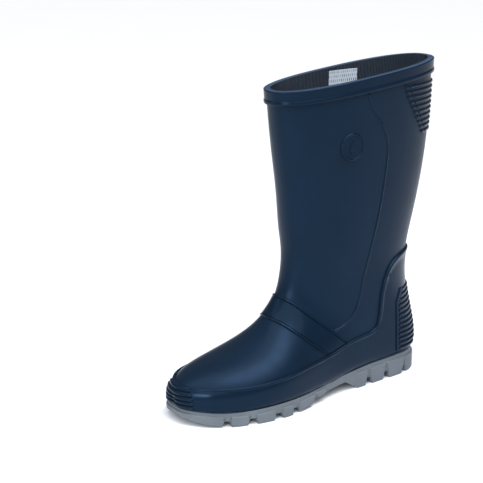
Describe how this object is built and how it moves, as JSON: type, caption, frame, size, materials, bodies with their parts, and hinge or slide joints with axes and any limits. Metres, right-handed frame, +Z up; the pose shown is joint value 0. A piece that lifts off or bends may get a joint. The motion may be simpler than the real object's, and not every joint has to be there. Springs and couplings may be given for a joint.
{
  "type": "rubber rain boot",
  "caption": "Left calf-high rain boot: smooth navy upper with raised bands and ribs, knit lining, removable insole, and a grey lugged sole with a heel.",
  "frame": {"origin": "middle of the underside of the boot's own box, on the ground", "axes": "+Z up the shaft, toe towards -Y, outer side of the left foot towards +X"},
  "size_m": [0.1004, 0.3142, 0.327],
  "materials": {
    "upper_vinyl": "soft PVC, moulded against a polished mould: satin to gloss",
    "trim_vinyl": "soft PVC, moulded raised bands and ribs, satin to gloss",
    "sole_vinyl": "grey soft PVC compound, matt and slightly grainy",
    "lining_knit": "ribbed polyester knit",
    "insole_felt": "needled felt cover",
    "insole_foam": "open cell foam",
    "label_tape": "woven satin tape",
    "filler_foam": "cellular PVC",
    "shank_steel": "rolled spring steel"
  },
  "bodies": {
    "root": {"upper_shell": "upper_vinyl", "lining_sock": "lining_knit", "mudguard": "trim_vinyl", "toe_bumper": "trim_vinyl", "heel_ribs": "trim_vinyl", "calf_ribs": "trim_vinyl", "ankle_band": "trim_vinyl", "rim_band": "trim_vinyl", "piping_outer": "trim_vinyl", "piping_inner": "trim_vinyl", "badge": "trim_vinyl", "outsole": "sole_vinyl", "heel_filler": "filler_foam", "shank": "shank_steel", "insole_foam": "insole_foam", "insole_cover": "insole_felt", "size_label": "label_tape"}
  },
  "joints": []
}
